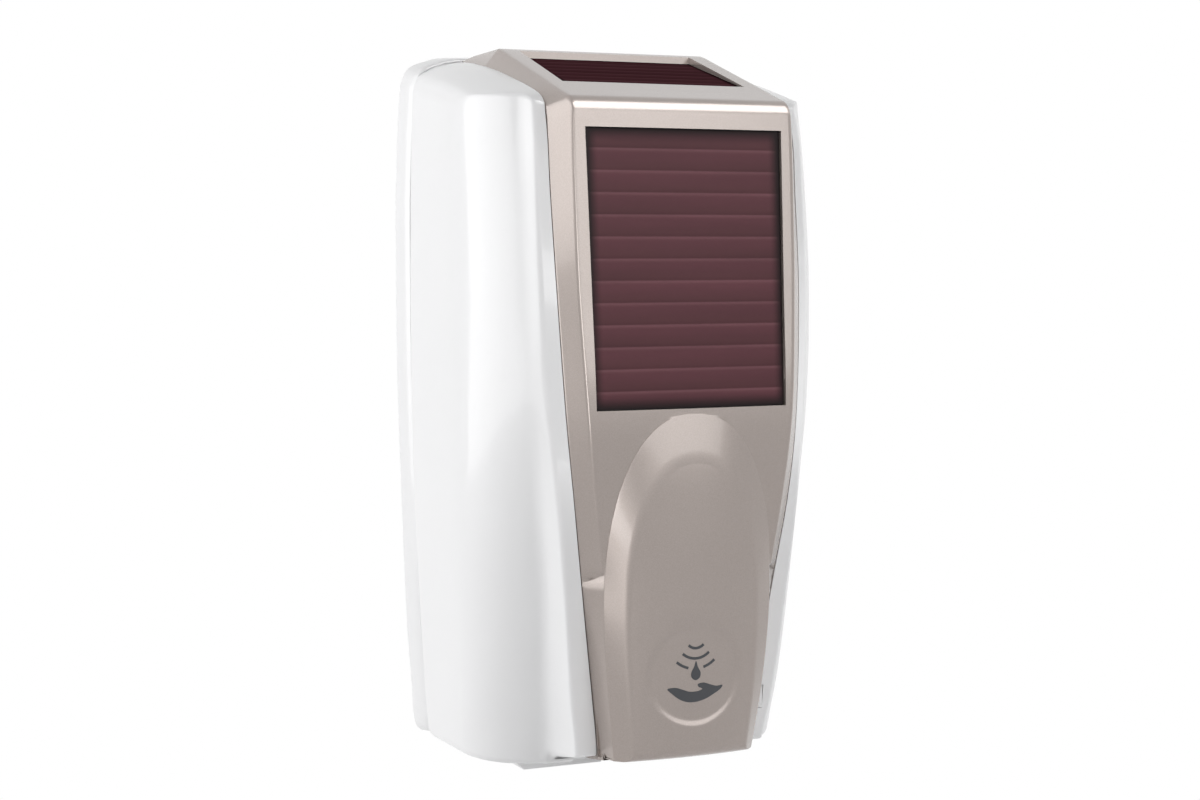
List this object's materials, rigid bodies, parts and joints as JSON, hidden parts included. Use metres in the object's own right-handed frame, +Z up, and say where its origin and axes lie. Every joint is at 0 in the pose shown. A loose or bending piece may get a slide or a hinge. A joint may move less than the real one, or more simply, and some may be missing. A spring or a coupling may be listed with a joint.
{
  "type": "automatic soap dispenser",
  "caption": "Wall-mounted automatic foam soap dispenser: white hinged cover, pearl face panel with a light-powered front and top, oval nose with a hand mark.",
  "frame": {"origin": "centre of the back plate's flat back, in the wall plane, halfway up the dispenser", "axes": "+X to the right seen from the front, +Y into the wall, +Z up"},
  "size_m": [0.146, 0.1219, 0.276],
  "materials": {
    "white_plastic": "gloss white moulded plastic",
    "pearl_plastic": "warm grey plastic with a fine pearl shimmer",
    "light_panel": "dark wine-red light cells under a clear gloss face, with fine lines across",
    "black_plastic": "matt black moulded plastic",
    "grey_plastic": "matt mid-grey moulded plastic",
    "natural_plastic": "matt off-white moulded plastic",
    "refill_plastic": "milky thin-walled bottle, full",
    "slate_plastic": "dark infrared window plastic",
    "circuit_board": "green solder mask",
    "steel": "plain bright steel",
    "brass": "plain brass",
    "cell_can": "blue coated can, plain"
  },
  "bodies": {
    "housing": {"back_plate": "white_plastic", "chassis": "natural_plastic", "chassis_screw_1": "steel", "chassis_screw_2": "steel", "chassis_screw_3": "steel", "chassis_screw_4": "steel", "sensor_guard": "white_plastic", "guard_screw_1": "steel", "guard_screw_2": "steel", "sensor_window": "slate_plastic", "hand_emitter": "slate_plastic", "hand_receiver": "black_plastic", "sensor_board": "circuit_board", "latch_spring": "steel", "refill_bottle": "refill_plastic", "refill_collar": "white_plastic", "pump_body": "natural_plastic", "pump_spring": "steel", "motor": "steel", "drive_frame": "grey_plastic", "gear_cover": "grey_plastic", "idler_axle": "steel", "output_axle": "steel", "control_board": "circuit_board", "battery_box": "black_plastic", "lower_contacts": "brass", "upper_contacts": "brass", "battery_cell_1": "cell_can", "battery_cell_2": "cell_can", "battery_cell_3": "cell_can", "battery_cell_4": "cell_can", "battery_lid": "grey_plastic"},
    "cover": {"cover_shell": "white_plastic", "face_panel": "pearl_plastic", "front_light_panel": "light_panel", "top_light_panel": "light_panel", "front_panel_frame": "black_plastic", "top_panel_frame": "black_plastic", "charge_board": "circuit_board", "panel_clip": "white_plastic", "cover_catch": "grey_plastic", "catch_screw_1": "steel", "catch_screw_2": "steel", "panel_screw_1": "steel", "panel_screw_2": "steel", "panel_screw_3": "steel", "panel_screw_4": "steel", "hinge_pin_left": "steel", "hinge_pin_right": "steel"},
    "latch": {"latch_button": "white_plastic"},
    "switch": {"power_switch": "black_plastic"},
    "carriage": {"pump_carriage": "grey_plastic", "pump_stem": "natural_plastic"},
    "output": {"output_gear": "natural_plastic"},
    "idler": {"idler_gear": "natural_plastic"},
    "pinion": {"motor_pinion": "brass"}
  },
  "joints": [
    {"name": "cover_hinge", "type": "hinge", "parent": "housing", "child": "cover", "pos_m": [0, -0.018, -0.129], "axis": [1, 0, 0], "range_deg": [0, 95]},
    {"name": "latch_press", "type": "slide", "parent": "housing", "child": "latch", "axis": [0, 0, -1], "range_m": [0, 0.0035], "stiffness_N_per_m": 800, "springref_m": -0.002, "deforming": ["latch_spring"]},
    {"name": "switch_slide", "type": "slide", "parent": "housing", "child": "switch", "axis": [1, 0, 0], "range_m": [0, 0.006]},
    {"name": "pump_lift", "type": "slide", "parent": "housing", "child": "carriage", "axis": [0, 0, 1], "range_m": [0, 0.009], "stiffness_N_per_m": 300, "springref_m": -0.005, "deforming": ["pump_spring"]},
    {"name": "output_turn", "type": "hinge", "parent": "housing", "child": "output", "pos_m": [-0.03615, -0.06, -0.072], "axis": [0, -1, 0], "range_deg": [0, 73.7]},
    {"name": "idler_turn", "type": "hinge", "parent": "housing", "child": "idler", "pos_m": [-0.04031, -0.0554, -0.0876], "axis": [0, 1, 0], "range_deg": [0, 162.1]},
    {"name": "pinion_turn", "type": "hinge", "parent": "housing", "child": "pinion", "pos_m": [-0.03802, -0.0531, -0.10409], "axis": [0, -1, 0], "range_deg": [0, 432.2]}
  ],
  "couplings": [
    {"joint": "output_turn", "follows": "pump_lift", "rad_per_m": 142.86},
    {"joint": "idler_turn", "follows": "pump_lift", "rad_per_m": 314.29},
    {"joint": "pinion_turn", "follows": "pump_lift", "rad_per_m": 838.1}
  ]
}
